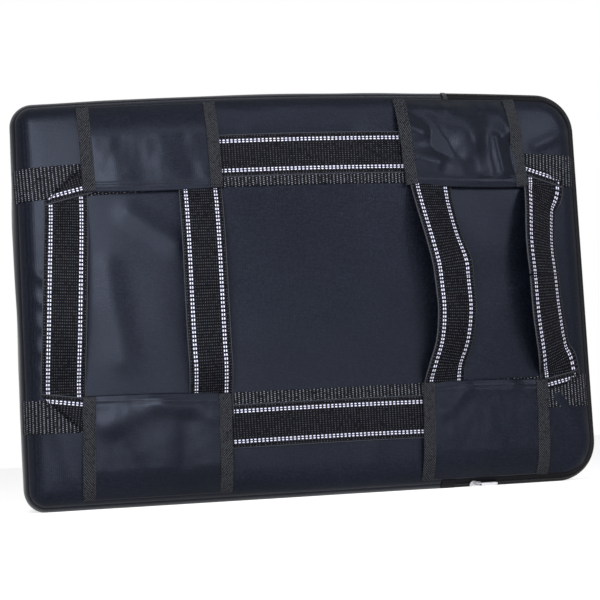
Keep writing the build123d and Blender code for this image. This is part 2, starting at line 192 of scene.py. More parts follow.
def smooth_path(stations, count):
    """Catmull-Rom points through rows of numbers, evenly spread over the spans between them."""
    rows = np.array(stations, float)
    padded = np.vstack([2 * rows[0] - rows[1], rows, 2 * rows[-1] - rows[-2]])
    found = []
    for value in np.linspace(0, len(rows) - 1, count):
        span = min(int(value), len(rows) - 2)
        t = value - span
        a, b, c, d = padded[span : span + 4]
        found.append(
            0.5 * (2 * b + (c - a) * t + (2 * a - 5 * b + 4 * c - d) * t**2 + (3 * b - a - 3 * c + d) * t**3)
        )
    return np.array(found)


def ribbon(name, centres, wides, normals, kind, body, cup=0.0):
    """Webbing along a line of centres: closed, with rounded edges. Its UV is metres across, and
    metres along from its last centre. kind is (width, thickness, look, slot)."""
    width, thickness, look, slot = kind
    across_count = 13
    offsets = np.sin(np.linspace(-pi / 2, pi / 2, across_count))
    ring = [(o, 1.0) for o in offsets[1:-1]] + [(1.0, 0.45), (1.0, -0.45)]
    ring += [(o, -1.0) for o in offsets[1:-1][::-1]] + [(-1.0, -0.45), (-1.0, 0.45)]
    points, uvs = [], []
    steps = np.linalg.norm(np.diff(centres, axis=0), axis=1)
    along = np.concatenate([[0.0], np.cumsum(steps)]) - np.sum(steps)
    for centre, wide, normal, v in zip(centres, wides, normals, along):
        for a, b in ring:
            rise = b * thickness / 2 + cup * (a * a - 0.4)
            points.append(centre + wide * (a * width / 2) + normal * rise)
            uvs.append((a * width / 2, v))
    faces = tube_faces(len(centres), len(ring), 0)
    return add_piece(name, points, faces, look, uvs, body, slot)


# ---------------------------------------------------------------- the pad's form
def ridge(x, z, start, end, width, height):
    """A soft fold along a line from start to end, both (x, z)."""
    ax, az = start
    dx, dz = end[0] - ax, end[1] - az
    t = np.clip(((x - ax) * dx + (z - az) * dz) / (dx * dx + dz * dz), 0, 1)
    squared = (x - ax - dx * t) ** 2 + (z - az - dz * t) ** 2
    return height * np.exp(-squared / width**2)


def crown_at(x, z):
    """How much the bow of the top edge raises a point. It fades out over crown_depth below the edge."""
    return crown * (1 - (x / half_width) ** 2) * smoothstep((z - side_height + crown_depth) / crown_depth)


def edge_quiet(x, z):
    """0 on a panel's edges and 1 in from them."""
    inset = np.minimum(half_width - np.abs(x), middle_z - np.abs(z - middle_z))
    return smoothstep(inset / edge_fade)


def pillow(x, z):
    """1 in a panel's middle, falling to 0 at its edges: mostly over the outer third."""
    across, up = np.abs(x) / half_width, np.abs(z - middle_z) / middle_z
    round_off = np.clip(1 - across**4, 0, 1) * np.clip(1 - up**4, 0, 1)
    return round_off * edge_quiet(x, z)


def rear_swell(x, z):
    """How far the cover stands out from its flat shape, without its folds."""
    return dome * pillow(x, z)


def on_edge(unrolled, radius, lift):
    """How far out and how high a point is that lies unrolled metres past the flat of a face."""
    if unrolled <= 0:
        return unrolled, lift
    angle = unrolled / radius
    return (radius + lift) * sin(angle), (radius + lift) * cos(angle) - radius


def on_rear(across, up, lift):
    """A point over the rear: across and up are measured along the cover, over its rounded edges."""
    flat_x = half_width - rear_edge_radius
    out_x, rise_x = on_edge(abs(across) - flat_x, rear_edge_radius, lift)
    x = (flat_x + out_x) * (1 if across > 0 else -1)
    top = up > middle_z
    flat_z = (side_height - rear_edge_radius) if top else rear_edge_radius
    out_z, rise_z = on_edge((up - flat_z) if top else (flat_z - up), rear_edge_radius, lift)
    z = flat_z + out_z if top else flat_z - out_z
    height = rear + min(rise_x, rise_z) + rear_swell(x, z)
    return np.array([x, -height, z + crown_at(x, z)])


def rounded(x, z):
    """Moves a point of the sharp-cornered face onto the round-cornered one: (x, z, inset)."""
    radius = np.where(x < 0, left_corner_radius, right_corner_radius)
    vx = np.abs(x) - (half_width - radius)
    vz = np.abs(z - middle_z) - (middle_z - radius)
    inset = np.minimum(half_width - np.abs(x), middle_z - np.abs(z - middle_z))
    corner = (vx > 0) & (vz > 0)
    size = np.maximum(np.sqrt(vx**2 + vz**2), 1e-9)
    level = np.maximum(vx, vz)
    x = np.where(corner, np.sign(x) * (half_width - radius + level * vx / size), x)
    side = np.sign(z - middle_z)
    z = np.where(corner, middle_z + side * (middle_z - radius + level * vz / size), z)
    return x, z + crown_at(x, z), inset


def edge_stations(half_length, radius, angle, step):
    """Sharp coordinates from one edge of a face to the other: close on the rounding, even between."""
    arc = np.linspace(angle, 0, 11)[:-1]
    edge = half_length - radius + radius * np.sin(arc)
    count = int(2 * (half_length - radius) / step)
    flat = np.linspace(-(half_length - radius), half_length - radius, count)
    return np.concatenate([-edge, flat, edge[::-1]])


def face_panel(side, radius, angle, height_at, relief, turn, look, slot):
    """A panel of the cover with its rounded edges. turn is -1 for the rear, 1 for the strike face."""
    xs = edge_stations(half_width, radius, angle, 0.003)
    zs = edge_stations(middle_z, radius, angle, 0.003) + middle_z
    grid_x, grid_z = np.meshgrid(xs, zs)
    x, z, inset = rounded(grid_x, grid_z)
    short = np.clip(radius - inset, 0, radius)
    drop = radius - np.sqrt(radius**2 - short**2)
    seam = 1 - np.clip((inset - inset.min()) / seam_tuck_width, 0, 1)
    height = height_at - drop + relief(x, z) - seam_tuck * seam**2
    points = np.stack([x, turn * height, z], axis=-1).reshape(-1, 3)
    faces = grid_faces(len(zs), len(xs))
    piece = add_piece(f"{side}_cover", points, faces, look, slot=slot, inside=pad_centre)
    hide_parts(f"{side}_panel")
    solidify(piece, cover_thickness)


def outline(step=0.004):
    """Points round the pad's widest outline, with the outward direction at each."""
    found = []
    for corner_x, corner_z, radius, start in (
        (1, -1, right_corner_radius, -90),
        (1, 1, right_corner_radius, 0),
        (-1, 1, left_corner_radius, 90),
        (-1, -1, left_corner_radius, 180),
    ):
        centre = (corner_x * (half_width - radius), middle_z + corner_z * (middle_z - radius))
        for angle in np.linspace(start, start + 90, 13):
            out = (cos(radians(angle)), sin(radians(angle)))
            found.append((centre[0] + out[0] * radius, centre[1] + out[1] * radius, *out))
    closed = found + found[:1]
    dense = []
    for a, b in zip(closed[:-1], closed[1:]):
        a, b = np.array(a), np.array(b)
        parts = max(1, int(np.linalg.norm(b[:2] - a[:2]) / step))
        dense += [a + (b - a) * k / parts for k in range(parts)]
    return np.array(dense)


# ---------------------------------------------------------------- materials
class Look:
    """A procedural material: a Principled shader, and short calls for the nodes before it."""

    def __init__(self, name, colour, roughness, specular, metallic=0.0):
        self.material = bpy.data.materials.new(name)
        self.material.use_nodes = True
        self.tree = self.material.node_tree
        self.shader = self.tree.nodes["Principled BSDF"]
        self.set("Base Color", (*colour, 1.0))
        self.set("Roughness", roughness)
        self.set("Specular IOR Level", specular)
        self.set("Metallic", metallic)

    def set(self, socket, value):
        self.shader.inputs[socket].default_value = value

    def math(self, operation, first, second=0.0, third=0.0):
        node = self.tree.nodes.new("ShaderNodeMath")
        node.operation = operation
        for slot_number, value in enumerate((first, second, third)):
            if isinstance(value, bpy.types.NodeSocket):
                self.tree.links.new(value, node.inputs[slot_number])
            else:
                node.inputs[slot_number].default_value = value
        return node.outputs[0]

    def times(self, first, second):
        return self.math("MULTIPLY", first, second)

    def step(self, value, low_edge, high_edge):
        """0 below low_edge, 1 above high_edge, and smooth between them."""
        node = self.tree.nodes.new("ShaderNodeMapRange")
        node.interpolation_type = "SMOOTHSTEP"
        self.tree.links.new(value, node.inputs["Value"])
        node.inputs["From Min"].default_value = low_edge
        node.inputs["From Max"].default_value = high_edge
        return node.outputs["Result"]

    def wave(self, value, pitch):
        """A smooth 0 to 1 wave of this pitch."""
        turned = self.math("COSINE", self.times(value, 2 * pi / pitch))
        return self.math("MULTIPLY_ADD", turned, 0.5, 0.5)

    def weave_uv(self):
        """Metres across and along the webbing."""
        uv = self.tree.nodes.new("ShaderNodeUVMap")
        uv.uv_map = "Weave"
        split = self.tree.nodes.new("ShaderNodeSeparateXYZ")
        self.tree.links.new(uv.outputs["UV"], split.inputs[0])
        return split.outputs["X"], split.outputs["Y"]

    def place(self):
        """The point's own X, Y and Z in the object's frame."""
        where = self.tree.nodes.new("ShaderNodeTexCoord")
        split = self.tree.nodes.new("ShaderNodeSeparateXYZ")
        self.tree.links.new(where.outputs["Object"], split.inputs[0])
        return split.outputs["X"], split.outputs["Y"], split.outputs["Z"]

    def noise(self, scales, detail=2.0, roughness=0.6):
        """Noise with its own scale along X, Y and Z."""
        where = self.tree.nodes.new("ShaderNodeTexCoord")
        mapping = self.tree.nodes.new("ShaderNodeMapping")
        mapping.inputs["Scale"].default_value = scales
        self.tree.links.new(where.outputs["Object"], mapping.inputs["Vector"])
        texture = self.tree.nodes.new("ShaderNodeTexNoise")
        texture.inputs["Scale"].default_value = 1.0
        texture.inputs["Detail"].default_value = detail
        texture.inputs["Roughness"].default_value = roughness
        self.tree.links.new(mapping.outputs["Vector"], texture.inputs["Vector"])
        return texture.outputs["Fac"]

    def mix(self, factor, first, second):
        """A colour between two, which are colours or sockets."""
        node = self.tree.nodes.new("ShaderNodeMix")
        node.data_type = "RGBA"
        self.tree.links.new(factor, node.inputs["Factor"])
        for socket, value in (("A", first), ("B", second)):
            target = [i for i in node.inputs if i.name == socket and i.type == "RGBA"][0]
            if isinstance(value, bpy.types.NodeSocket):
                self.tree.links.new(value, target)
            else:
                target.default_value = (*value, 1.0)
        return [o for o in node.outputs if o.type == "RGBA"][0]

    def colour(self, socket):
        self.tree.links.new(socket, self.shader.inputs["Base Color"])

    def roughness(self, value, low_value, high_value):
        spread = self.math("MULTIPLY_ADD", value, high_value - low_value, low_value)
        self.tree.links.new(spread, self.shader.inputs["Roughness"])

    def bump(self, height, depth):
        node = self.tree.nodes.new("ShaderNodeBump")
        node.inputs["Strength"].default_value = 1.0
        node.inputs["Distance"].default_value = depth
        self.tree.links.new(height, node.inputs["Height"])
        self.tree.links.new(node.outputs["Normal"], self.shader.inputs["Normal"])


def satin_nylon(name, dark, light, specular, roughness):
    """Coated nylon cloth: fine threads both ways, a soft satin gloss and slightly uneven colour."""
    look = Look(name, dark, roughness, specular)
    look.set("Specular Tint", (0.68, 0.76, 1.0, 1.0))
    x, y, z = look.place()
    across = look.wave(look.math("ADD", x, y), 0.0019)
    up = look.wave(z, 0.0015)
    threads = look.times(across, up)
    streaks = look.noise((330.0, 330.0, 640.0))
    cloud = look.noise((9.0,) * 3, 3.0, 0.5)
    weave = look.math("ADD", look.times(threads, 0.4), streaks)
    tone = look.math("ADD", look.times(weave, 0.8), look.times(cloud, 0.3))
    look.colour(look.mix(look.step(tone, 0.5, 0.9), dark, light))
    look.roughness(streaks, roughness - 0.08, roughness + 0.1)
    look.bump(weave, 0.00008)
    return look.material


def striped_webbing():
    """Ribbed black webbing with two stripes of paired white dots, with painted glints on its raised loops
    and a painted highlight along both edges.
    """
    rib_pitch, column_pitch, dot_pitch, pair_pitch = 0.0033, 0.0024, 0.0044, 0.0024
    black, glint_grey, dot_white = (0.0018, 0.0019, 0.0032), (0.1, 0.105, 0.13), (0.7, 0.7, 0.86)
    look = Look("striped_webbing", (0.004, 0.004, 0.006), 0.55, 0.06)
    across, along = look.weave_uv()
    from_centre = look.math("ABSOLUTE", across)
    ribs = look.wave(along, rib_pitch)
    columns = look.wave(across, column_pitch)
    specks = look.step(look.times(ribs, columns), 0.45, 0.9)
    fuzz = look.noise((420.0,) * 3)
    # painted glints: the weave's raised loops are lightened to grey in the colour
    painted_glints = look.times(specks, look.step(fuzz, 0.3, 0.62))
    # painted highlight: a lighter band in the colour along both edges of the webbing
    edge = look.step(from_centre, strap_width / 2 - 0.0016, strap_width / 2 - 0.0004)
    painted_highlights = look.math("MAXIMUM", painted_glints, look.times(edge, 0.5))
    base = look.mix(painted_highlights, black, glint_grey)
    offset = look.math("SUBTRACT", from_centre, stripe_offset)
    band = look.math("SUBTRACT", 1.0, look.step(look.math("ABSOLUTE", offset), 0.0022, 0.0026))
    pairs = look.math("SUBTRACT", 1.0, look.wave(offset, pair_pitch))
    dots = look.times(pairs, look.wave(along, dot_pitch))
    white = look.times(look.step(dots, 0.16, 0.5), band)
    look.colour(look.mix(white, base, dot_white))
    look.bump(look.math("ADD", specks, look.times(ribs, 0.6)), 0.0005)
    return look.material


def plain_webbing():
    """Coarse black webbing, with columns of loops that catch the light: their glints are painted into its
    colour as grey specks.
    """
    look = Look("plain_webbing", (0.005, 0.005, 0.007), 0.5, 0.07)
    across, along = look.weave_uv()
    columns = look.wave(along, 0.004)
    loops = look.wave(look.math("ADD", across, look.times(along, 0.3)), 0.0021)
    specks = look.step(look.times(columns, loops), 0.35, 0.9)
    fuzz = look.noise((500.0,) * 3)
    # painted glints: the raised loops are lightened to grey in the colour
    painted_glints = look.times(specks, look.step(fuzz, 0.28, 0.6))
    look.colour(look.mix(painted_glints, (0.002, 0.0021, 0.0034), (0.34, 0.36, 0.43)))
    look.bump(look.math("ADD", specks, columns), 0.0006)
    return look.material


def binding_tape():
    """Twill tape folded over the cloth's edge: bold slanting ribs."""
    look = Look("binding_tape", (0.004, 0.004, 0.006), 0.6, 0.1)
    across, along = look.weave_uv()
    slant = look.math("ADD", along, look.times(across, 1.15))
    ribs = look.wave(slant, 0.0029)
    fuzz = look.noise((520.0,) * 3)
    raised = look.times(look.step(ribs, 0.35, 0.85), look.step(fuzz, 0.25, 0.6))
    look.colour(look.mix(raised, (0.003, 0.0032, 0.0046), (0.06, 0.063, 0.074)))
    look.bump(ribs, 0.0005)
    return look.material


def fine_ribs(name, dark, light, pitch, depth, specular=0.3, roughness=0.55):
    """Small crossing ribs over X and Z, for zip tape, coil and thread."""
    look = Look(name, dark, roughness, specular)
    x, _, z = look.place()
    rising = look.wave(look.math("ADD", x, z), pitch)
    falling = look.wave(look.math("SUBTRACT", x, z), pitch)
    ribs = look.times(rising, falling)
    fuzz = look.noise((300.0,) * 3, 3.0, 0.6)
    look.colour(look.mix(look.times(ribs, fuzz), dark, light))
    look.bump(ribs, depth)
    return look.material


def foam(name, dark, light):
    """Open-cell foam: small pores over a slightly uneven colour."""
    look = Look(name, light, 0.9, 0.15)
    pores = look.noise((600.0,) * 3, 3.0, 0.7)
    look.colour(look.mix(look.step(pores, 0.35, 0.6), dark, light))
    look.bump(pores, 0.0006)
    return look.material


def brushed_metal(name, colour, roughness):
    """Die-cast zinc with a worn, slightly brushed finish."""
    look = Look(name, colour, roughness, 0.5, metallic=1.0)
    scratches = look.noise((2500.0, 400.0, 400.0), 4.0, 0.7)
    look.roughness(scratches, roughness - 0.08, roughness + 0.15)
    look.colour(look.mix(scratches, tuple(0.75 * c for c in colour), colour))
    look.bump(scratches, 0.00005)
    return look.material


navy = (0.0005, 0.0008, 0.002)
cover_look = satin_nylon("satin_nylon", navy, (0.0072, 0.009, 0.0168), 0.17, 0.35)
tunnel_look = satin_nylon("satin_nylon_tunnel", navy, (0.0066, 0.0082, 0.0152), 0.18, 0.33)
strike_look = satin_nylon("strike_fabric", (0.006, 0.0066, 0.0105), (0.014, 0.015, 0.021), 0.14, 0.44)
striped_look = striped_webbing()
plain_look = plain_webbing()
binding_look = binding_tape()
zip_tape_look = fine_ribs("zip_tape", (0.0025, 0.0026, 0.004), (0.01, 0.01, 0.014), 0.0011, 0.0002, 0.08)
coil_look = fine_ribs("zip_coil", (0.0035, 0.0035, 0.005), (0.014, 0.014, 0.018), 0.0007, 0.0001, 0.25, 0.4)
thread_look = fine_ribs("thread", (0.02, 0.021, 0.025), (0.06, 0.062, 0.07), 0.0004, 0.0001)
soft_foam_look = foam("soft_foam", (0.42, 0.41, 0.36), (0.72, 0.7, 0.63))
firm_foam_look = foam("firm_foam", (0.08, 0.08, 0.085), (0.19, 0.19, 0.2))
metal_look = brushed_metal("zip_metal", (0.62, 0.62, 0.64), 0.3)

# kinds of webbing: (width, thickness, look, slot)
striped = (strap_width, strap_thickness, striped_look, "striped_webbing")
plain = (base_width, base_thickness, plain_look, "plain_webbing")
binding = (binding_width, binding_thickness, binding_look, "binding_tape")


# ---------------------------------------------------------------- cover
cover_folds = (
    # (start, end, width, height) of soft folds in the rear panel, as (x, z)
    ((-0.322, 0.268), (-0.268, 0.236), 0.006, 0.0022),
    ((-0.324, 0.238), (-0.272, 0.214), 0.0055, 0.0018),
    ((-0.322, 0.205), (-0.282, 0.196), 0.006, 0.0022),
    ((-0.32, 0.176), (-0.276, 0.168), 0.006, 0.0018),
    ((-0.32, 0.15), (-0.284, 0.147), 0.005, 0.0014),
    ((-0.2, 0.322), (-0.15, 0.286), 0.012, 0.002),
    ((-0.226, 0.262), (-0.212, 0.16), 0.014, 0.0018),
    ((0.306, 0.4), (0.272, 0.386), 0.007, 0.0016),
    ((0.278, 0.096), (0.318, 0.05), 0.01, 0.002),
    ((0.268, 0.052), (0.3, 0.022), 0.008, 0.0014),
    ((-0.285, 0.09), (-0.268, 0.024), 0.011, 0.0012),
    ((-0.08, 0.05), (-0.07, 0.012), 0.012, 0.0012),
    ((0.06, 0.052), (0.056, 0.012), 0.014, 0.0012),
    ((-0.06, 0.44), (-0.055, 0.42), 0.016, 0.0014),
    ((0.05, 0.44), (0.052, 0.418), 0.018, 0.0014),
)


def waviness(x, z, pitch, height, seed):
    """Gentle unevenness, the same every run."""
    flat = np.stack([np.ravel(x), np.ravel(z)], axis=1) / pitch
    values = [noise.noise(Vector((a + seed, b - seed, seed))) for a, b in flat]
    return height * np.array(values).reshape(np.shape(x))


def rear_relief(x, z):
    folds = sum(ridge(x, z, *fold) for fold in cover_folds) + waviness(x, z, 0.055, 0.0008, 3.1)
    return rear_swell(x, z) + folds * edge_quiet(x, z)


def strike_relief(x, z):
    return strike_dome * pillow(x, z) + waviness(x, z, 0.08, 0.001, 7.7) * edge_quiet(x, z)


face_panel("rear", rear_edge_radius, seam_angle, rear, rear_relief, -1, cover_look, "satin_nylon")
face_panel("strike", strike_edge_radius, pi / 2, strike, strike_relief, 1, strike_look, "strike_fabric")


def side_wall():
    """The gusset between the two panels, from the rear seam to the strike face's edge."""
    around = outline()
    arc = np.linspace(seam_angle, pi / 2, 8)
    profile = [(rear_edge_radius * (1 - sin(a)), rear - rear_edge_radius * (1 - cos(a))) for a in arc]
    end_height = -(strike - strike_edge_radius)
    profile += [(0.0, h) for h in np.linspace(rear - rear_edge_radius, end_height, 26)[1:]]
    points = []
    for inset, height in profile:
        from_seam = min(height - end_height, seam_height - height)
        tuck = seam_tuck * max(0.0, 1 - from_seam / seam_tuck_width) ** 2
        soft = wall_swell * smoothstep(from_seam / wall_swell_fade)
        for x, z, out_x, out_z in around:
            swell = soft * (0.4 + noise.noise(Vector((x * 14, z * 14, height * 22))))
            out = swell - inset - tuck
            place_z = z + out_z * out
            points.append((x + out_x * out, -height, place_z + crown_at(x, place_z)))
    points = [(x, y, max(z, 0.0001)) for x, y, z in points]
    faces = grid_faces(len(profile), len(around), closed=True)
    piece = add_piece("side_wall", points, faces, cover_look, slot="satin_nylon", inside=pad_centre)
    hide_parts("side_gusset")
    solidify(piece, cover_thickness)


side_wall()


# ---------------------------------------------------------------- foam and zip parts
def foam_block(node, look, slot):
    """The foam's own shape, with its edges pressed in by the cover."""
    source = nodes[node]
    points = []
    for vertex in source.data.vertices:
        x, y, z = source.matrix_world @ vertex.co
        x *= 1 - foam_tuck / half_width
        points.append((x, y, middle_z + (z - middle_z) * (1 - foam_tuck / middle_z)))
    faces = [tuple(face.vertices) for face in source.data.polygons]
    piece = add_piece(f"{node}_block", points, faces, look, slot=slot)
    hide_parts(node)


foam_block("rear_foam", soft_foam_look, "soft_foam")
foam_block("core_foam", soft_foam_look, "soft_foam")
foam_block("strike_foam", firm_foam_look, "firm_foam")

for node, look in (
    ("zip_gusset_tape", zip_tape_look),
    ("zip_panel_tape", zip_tape_look),
    ("zip_garage", zip_tape_look),
    ("zip_top_stop", coil_look),
    ("zip_slider", metal_look),
    ("zip_pull_tab", metal_look),
):
    nodes[node].data.materials.clear()
    nodes[node].data.materials.append(look)


# ---------------------------------------------------------------- straps
def frame_lines(centres, wide_hint):
    """Width and normal directions along a line of points, from a rough width direction at each."""
    tangents = np.gradient(centres, axis=0)
    tangents /= np.linalg.norm(tangents, axis=1)[:, None]
    wides = wide_hint - tangents * np.sum(wide_hint * tangents, axis=1)[:, None]
    wides /= np.linalg.norm(wides, axis=1)[:, None]
    return wides, np.cross(wides, tangents)


def root_strap(name, node, centres, hints, kind):
    """A strap or tape along a line of points, on the root body, that stands for a CAD node."""
    centres = np.array(centres)
    wides, normals = frame_lines(centres, np.array(hints, float))
    piece = ribbon(name, centres, wides, normals, kind, "root")
    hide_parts(node)
    return piece


def base_strap(label, bow):
    """A plain strap right across the rear, over both rounded edges. It bows by bow in its middle."""
    node = f"base_strap_{label}"
    low_corner, high_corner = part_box(node)
    lowest = low_corner.z if bow > 0 else high_corner.z
    centre_z = lowest + (base_width / 2 if bow > 0 else -base_width / 2)
    flat = half_width - rear_edge_radius
    left_arc, right_arc = rear_edge_radius * radians(62), rear_edge_radius * radians(32)
    centres, hints = [], []
    for across in np.linspace(-flat - left_arc, flat + right_arc, 190):
        z = centre_z + bow * (1 - (across / half_width) ** 2)
        ripple = 0.0004 * noise.noise(Vector((across * 30, centre_z * 9, 0)))
        lift = first_layer - base_thickness / 2 + ripple
        upper = on_rear(across, z + 0.001, lift)
        lower = on_rear(across, z - 0.001, lift)
        centres.append((upper + lower) / 2)
        hints.append(lower - upper)
    root_strap(node + "_cloth", node, centres, hints, plain)


base_strap("upper", 0.011)
base_strap("lower", -0.002)


def loop_run(label, bow, drop):
    """A level stretch of the striped loop, which goes on under the tunnels at both ends.

    It lies lower than its CAD node by drop, and bows up by bow in its middle.
    """
    node = f"loop_run_{label}"
    low_corner, high_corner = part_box(node)
    centre_z = (low_corner.z + high_corner.z) / 2 - drop
    left, right = low_corner.x, high_corner.x
    centres, hints = [], []
    for share in np.linspace(0, 1, 90):
        x = lerp(left, right, share)
        z = centre_z + bow * (1 - (2 * share - 1) ** 2)
        ripple = 0.0008 * noise.noise(Vector((x * 18, centre_z * 5, 0.5)))
        lift = first_layer + strap_thickness / 2 + ripple
        centres.append(on_rear(x, z, lift))
        hints.append((0, 0, -1))
    root_strap(node + "_cloth", node, centres, hints, striped)


loop_run("upper", 0.0015, drop=0.0045)
loop_run("lower", 0.001, drop=0.0015)


def fold_corner(name, outer_x, fold_z, inner_z, end_x, shown=strap_width):
    """The loop's fold over an outer grip: its outer edge runs at 45 degrees, and its stripes slant.

    inner_z is where its inner edge passes under the tunnel, at end_x. On the right the base strap
    covers all of it but the width that is shown.
    """
    node = f"loop_corner_{name}"
    up = 1 if name.startswith("upper") else -1
    inward = 1 if end_x > outer_x else -1
    start = np.array((outer_x, fold_z))
    along = np.array((end_x - outer_x, inner_z - fold_z))
    reach = np.linalg.norm(along)
    along /= reach
    across = np.array((-along[1] * inward, along[0] * inward)) * up
    fold = np.array((inward, up)) / sqrt(2)
    rows, columns = 26, 15
    points, uvs = [], []
    for row in range(rows):
        travelled = reach * (row / (rows - 1)) ** 1.2  # rows lie closer at the fold's tip
        near = start + along * travelled
        wide = min(shown, travelled * (fold @ across) / (fold @ along))
        for column in range(columns):
            out = wide * column / (columns - 1)
            place = near + across * out
            rim = min(1.0, (wide - out) / fold_rim)
            lift = second_layer + strap_thickness + fold_rise * smoothstep(rim) - 0.0008
            points.append(on_rear(place[0], place[1], lift))
            uvs.append((out - strap_width / 2, travelled))
    faces = grid_faces(rows, columns)
    name = node + "_cloth"
    piece = add_piece(name, points, faces, striped_look, uvs, slot=striped[-1], inside=pad_centre)
    solidify(piece, strap_thickness)
    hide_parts(node)


# ---------------------------------------------------------------- grips
def cut_at_fold(piece, outer_x, fold_z, slope):
    """Ends an outer grip on a slanting line under its corner's fold."""
    up = 1 if fold_z > middle_z else -1
    for vertex in piece.data.vertices:
        limit = fold_z + up * slope * abs(outer_x - vertex.co.x)
        if (vertex.co.z - limit) * up > 0:
            vertex.co.z = limit
    work = bmesh.new()
    work.from_mesh(piece.data)
    bmesh.ops.remove_doubles(work, verts=work.verts, dist=1e-5)
    work.to_mesh(piece.data)
    work.free()


def grip_half(name, stations, node_names, cup, fold=None):
    """Half of a grip: webbing that bends from its sewn end to its free middle."""
    rows = smooth_path(stations, 56)
    centres, hints = [], []
    for z, x, lift, twist in rows:
        centres.append((x, -(rear + rear_swell(x, z) + lift), z))
        hints.append((cos(radians(twist)), sin(radians(twist)), 0.0))
    centres, hints = np.array(centres), np.array(hints)
    wides, normals = frame_lines(centres, hints)
    if normals[len(normals) // 2][1] > 0:
        normals = -normals
    piece = ribbon(name, centres, wides, normals, striped, None, cup)
    if fold:
        cut_at_fold(piece, *fold)
    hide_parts(*node_names)
    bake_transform(piece)


def grip(body, upper, middle, lower, cup, upper_fold=None, lower_fold=None):
    """Both halves of a grip, which meet in its middle.

    upper and lower list (z, x, lift, twist in degrees) from a sewn end up to the middle. cup is how
    far its edges curl away from the pad, or towards it where negative.
    """
    top_nodes = [f"{body}_top_end", f"{body}_middle"]
    grip_half(f"{body}_upper", [*upper, middle], top_nodes, cup, upper_fold)
    grip_half(f"{body}_lower", [*lower, middle], [f"{body}_bottom_end"], cup, lower_fold)


outer_layer = first_layer + strap_thickness / 2
inner_layer = second_layer + strap_thickness / 2
grip(
    "outer_left_grip",
    upper=[
        (0.368, -0.268, outer_layer, 0),
        (0.33, -0.268, outer_layer, 0),
        (0.3, -0.2695, 0.015, 0),
        (0.268, -0.2715, 0.0235, 0),
    ],
    middle=(0.234, -0.2735, 0.026, 0),
    lower=[
        (0.092, -0.279, outer_layer, 0),
        (0.131, -0.279, outer_layer, 0),
        (0.155, -0.278, 0.0125, 0),
        (0.19, -0.276, 0.0235, 0),
    ],
    cup=-0.0008,
    upper_fold=(-0.292, 0.336, 1.0),
    lower_fold=(-0.303, 0.126, 1.0),
)
grip(
    "inner_left_grip",
    upper=[
        (0.376, -0.1205, inner_layer, 0),
        (0.35, -0.1206, inner_layer, 0),
        (0.325, -0.1208, 0.013, 0),
        (0.285, -0.1212, 0.0225, 0),
    ],
    middle=(0.234, -0.1215, 0.0265, 0),
    lower=[
        (0.092, -0.1195, inner_layer, 0),
        (0.118, -0.1195, inner_layer, 0),
        (0.133, -0.1197, 0.0135, 1),
        (0.15, -0.1203, 0.0232, 2),
        (0.166, -0.1208, 0.0243, 1),
        (0.19, -0.1212, 0.0255, 0),
    ],
    cup=-0.0006,
)
grip(
    "inner_right_grip",
    upper=[
        (0.376, 0.142, inner_layer, 0),
        (0.348, 0.142, inner_layer, 4),
        (0.318, 0.143, 0.015, 14),
        (0.28, 0.1485, 0.026, 16),
        (0.252, 0.1545, 0.0305, 8),
    ],
    middle=(0.234, 0.156, 0.03, 10),
    lower=[
        (0.092, 0.143, inner_layer, 0),
        (0.118, 0.144, inner_layer, 5),
        (0.138, 0.146, 0.014, 18),
        (0.165, 0.1535, 0.024, 16),
        (0.198, 0.157, 0.03, 12),
    ],
    cup=-0.0012,
)
grip(
    "outer_right_grip",
    upper=[
        (0.368, 0.278, outer_layer, 0),
        (0.338, 0.277, 0.0035, 5),
        (0.316, 0.269, 0.0125, 27),
        (0.272, 0.2625, 0.023, 30),
    ],
    middle=(0.234, 0.263, 0.0265, 29),
    lower=[
        (0.092, 0.282, outer_layer, 0),
        (0.126, 0.281, 0.003, 4),
        (0.148, 0.2735, 0.0125, 24),
        (0.192, 0.2655, 0.0235, 27),
    ],
    cup=-0.0014,
    upper_fold=(0.305, 0.342, 0.344),
    lower_fold=(0.307, 0.12, 0.215),
)

fold_corner("upper_left", -0.292, 0.332, 0.356, -0.19)
fold_corner("lower_left", -0.303, 0.128, 0.112, -0.19)
fold_corner("upper_right", 0.3, 0.336, 0.367, 0.21, shown=0.012)
fold_corner("lower_right", 0.303, 0.126, 0.106, 0.21, shown=0.012)


